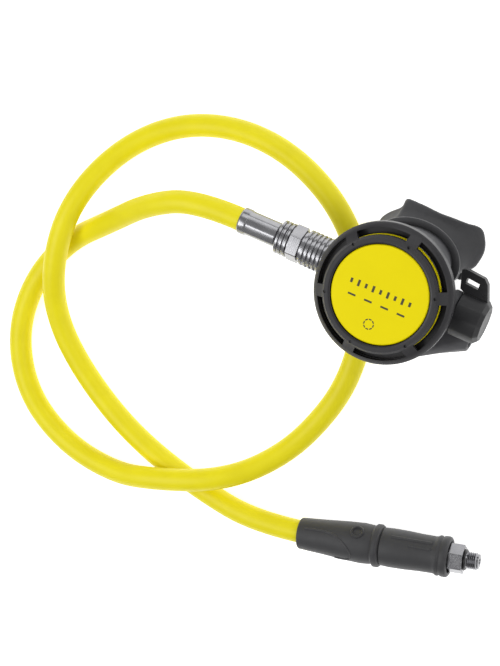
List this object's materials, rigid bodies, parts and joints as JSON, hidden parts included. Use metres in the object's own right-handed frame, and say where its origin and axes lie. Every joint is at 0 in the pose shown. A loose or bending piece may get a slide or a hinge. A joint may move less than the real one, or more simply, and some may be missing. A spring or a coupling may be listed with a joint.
{
  "type": "scuba alternate second stage with hose",
  "caption": "Round scuba second stage with a large purge button, mouthpiece, exhaust tee and venturi lever, on a low-pressure hose that ends in a protected male fitting.",
  "frame": {"origin": "middle of the footprint of the second stage and its inlet, on the surface that it lies on, mouthpiece down", "axes": "+Z out of the purge button, +X along the valve axis away from the hose, +Y up when worn, away from the exhaust"},
  "size_m": [0.2991, 0.2188, 0.076],
  "materials": {
    "purge_yellow": "smooth moulded, slightly glossy",
    "hose_yellow": "smooth braided-hose jacket",
    "cover_black": "fine moulded",
    "case_grey": "fine moulded",
    "mouth_rubber": "moulded silicone rubber",
    "tee_rubber": "moulded rubber",
    "sleeve_rubber": "moulded rubber",
    "lever_plastic": "fine moulded",
    "chrome_plate": "plated, turned",
    "steel": "drawn and pressed",
    "brass_plated": "turned",
    "silicone": "clear moulded silicone",
    "o_ring_black": "moulded",
    "inner_plastic": "moulded"
  },
  "bodies": {
    "root": {"cover_ring": "cover_black", "purge_spring": "steel", "diaphragm_guard": "cover_black", "diaphragm": "silicone", "housing": "case_grey", "exhaust_tee": "tee_rubber", "valve_barrel": "brass_plated", "orifice": "brass_plated", "poppet_spring": "steel", "spring_pad": "inner_plastic", "adjusting_nut": "brass_plated", "lever_o_ring": "o_ring_black", "inlet_fitting": "chrome_plate", "barrel_o_ring": "o_ring_black", "hose_stem": "chrome_plate", "stem_o_ring": "o_ring_black", "second_stage_ferrule": "chrome_plate", "mouthpiece": "mouth_rubber", "mouthpiece_strap": "mouth_rubber", "hose": "hose_yellow", "protector_front": "sleeve_rubber", "protector_rear": "sleeve_rubber", "first_stage_ferrule": "chrome_plate", "first_stage_fitting": "chrome_plate", "fitting_o_ring": "o_ring_black"},
    "button": {"purge_button": "purge_yellow"},
    "diaphragm_plate": {"diaphragm_center": "silicone", "diaphragm_disc": "steel", "wear_disc": "inner_plastic"},
    "lever": {"demand_lever": "steel"},
    "poppet": {"poppet": "inner_plastic", "poppet_seat": "o_ring_black"},
    "exhaust_flap": {"exhaust_valve": "silicone"},
    "venturi": {"venturi_lever": "lever_plastic", "lever_cap": "lever_plastic", "venturi_vane": "inner_plastic", "lever_clip": "steel"},
    "nut": {"swivel_nut": "chrome_plate"}
  },
  "joints": [
    {"name": "purge_press", "type": "slide", "parent": "root", "child": "button", "axis": [0, 0, -1], "range_m": [0, 0.0035], "stiffness_N_per_m": 1500, "springref_m": -0.002, "deforming": ["purge_spring"]},
    {"name": "diaphragm_travel", "type": "slide", "parent": "root", "child": "diaphragm_plate", "axis": [0, 0, -1], "range_m": [0, 0.00351]},
    {"name": "lever_turn", "type": "hinge", "parent": "root", "child": "lever", "pos_m": [0.03395, -0.0011, 0.0432], "axis": [0, -1, 0], "range_deg": [0, 12.05]},
    {"name": "poppet_lift", "type": "slide", "parent": "root", "child": "poppet", "axis": [1, 0, 0], "range_m": [0, 0.00111]},
    {"name": "exhaust_lift", "type": "slide", "parent": "root", "child": "exhaust_flap", "axis": [0, -0.6241, -0.7813], "range_m": [0, 0.0015], "stiffness_N_per_m": 80, "springref_m": -0.001},
    {"name": "venturi_turn", "type": "hinge", "parent": "root", "child": "venturi", "pos_m": [0.01995, -0.0011, 0.0432], "axis": [1, 0, 0], "range_deg": [-45, 0]},
    {"name": "nut_turn", "type": "hinge", "parent": "root", "child": "nut", "pos_m": [-0.04705, -0.0011, 0.0432], "axis": [1, 0, 0], "continuous": true}
  ],
  "couplings": [
    {"joint": "diaphragm_travel", "follows": "purge_press", "ratio": 1},
    {"joint": "lever_turn", "follows": "purge_press", "rad_per_m": 59.84},
    {"joint": "poppet_lift", "follows": "purge_press", "ratio": 0.31429}
  ]
}
